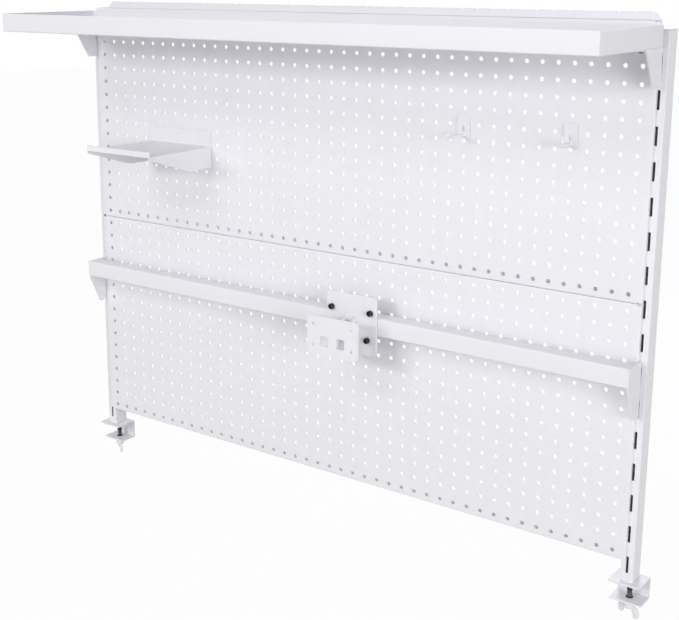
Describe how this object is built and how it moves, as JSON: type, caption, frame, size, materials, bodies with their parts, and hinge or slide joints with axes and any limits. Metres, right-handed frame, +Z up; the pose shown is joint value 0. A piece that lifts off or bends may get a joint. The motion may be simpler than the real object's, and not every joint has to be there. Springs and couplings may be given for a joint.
{
  "type": "desk-clamped pegboard organizer",
  "caption": "Pegboard wall that clamps to a desk's rear edge, with a top tray shelf, a cross rail that carries a tilting display mount, a small shelf and peg hooks.",
  "frame": {"origin": "on the desk top's rear edge, midway between the two clamps, at the height of the upper jaws' undersides", "axes": "+X along the desk to the right as the user faces the wall, +Y away from the user, +Z up"},
  "size_m": [1.146, 0.2605, 0.9102],
  "materials": {
    "white_coat": "white powder coat, fine satin",
    "white_plastic": "moulded white plastic",
    "black_steel": "black oxide",
    "grey_plastic": "moulded light grey plastic",
    "pad_rubber": "black rubber"
  },
  "bodies": {
    "frame": {"left_post": "white_coat", "right_post": "white_coat", "post_caps": "white_plastic", "lower_panel": "white_coat", "upper_panel": "white_coat", "left_clamp_bracket": "white_coat", "right_clamp_bracket": "white_coat", "clamp_bushes": "black_steel", "top_shelf": "white_coat", "left_shelf_bracket": "white_coat", "right_shelf_bracket": "white_coat", "cross_rail": "white_coat", "left_rail_bracket": "white_coat", "right_rail_bracket": "white_coat", "small_shelf": "white_coat", "long_hook_plate": "white_coat", "long_hook_arm": "white_coat", "short_hook_plate": "white_coat", "short_hook_arm": "white_coat"},
    "carriage": {"carriage_front_plate": "white_coat", "carriage_saddle": "white_coat", "carriage_screws": "black_steel", "tilt_bracket": "white_coat", "tilt_bolt": "black_steel", "tilt_nut": "black_steel"},
    "display": {"display_plate": "white_coat"},
    "left_pad": {"left_screw_pad": "pad_rubber"},
    "left_screw": {"left_clamp_screw": "black_steel", "left_wing_handle": "grey_plastic"},
    "right_pad": {"right_screw_pad": "pad_rubber"},
    "right_screw": {"right_clamp_screw": "black_steel", "right_wing_handle": "grey_plastic"}
  },
  "joints": [
    {"name": "carriage_slide", "type": "slide", "parent": "frame", "child": "carriage", "axis": [1, 0, 0], "range_m": [-0.5695, 0.4195]},
    {"name": "display_tilt", "type": "hinge", "parent": "carriage", "child": "display", "pos_m": [0.075, -0.1158, 0.327], "axis": [1, 0, 0], "range_deg": [-15, 15]},
    {"name": "left_pad_slide", "type": "slide", "parent": "frame", "child": "left_pad", "axis": [0, 0, 1], "range_m": [-0.011, 0.005]},
    {"name": "left_screw_spin", "type": "hinge", "parent": "left_pad", "child": "left_screw", "pos_m": [-0.548, -0.0155, -0.04], "axis": [0, 0, 1], "range_deg": [-3200, 1460]},
    {"name": "right_pad_slide", "type": "slide", "parent": "frame", "child": "right_pad", "axis": [0, 0, 1], "range_m": [-0.011, 0.005]},
    {"name": "right_screw_spin", "type": "hinge", "parent": "right_pad", "child": "right_screw", "pos_m": [0.548, -0.0155, -0.04], "axis": [0, 0, 1], "range_deg": [-3200, 1460]}
  ],
  "couplings": [
    {"joint": "left_screw_spin", "follows": "left_pad_slide", "rad_per_m": 5026.5},
    {"joint": "right_screw_spin", "follows": "right_pad_slide", "rad_per_m": 5026.5}
  ]
}
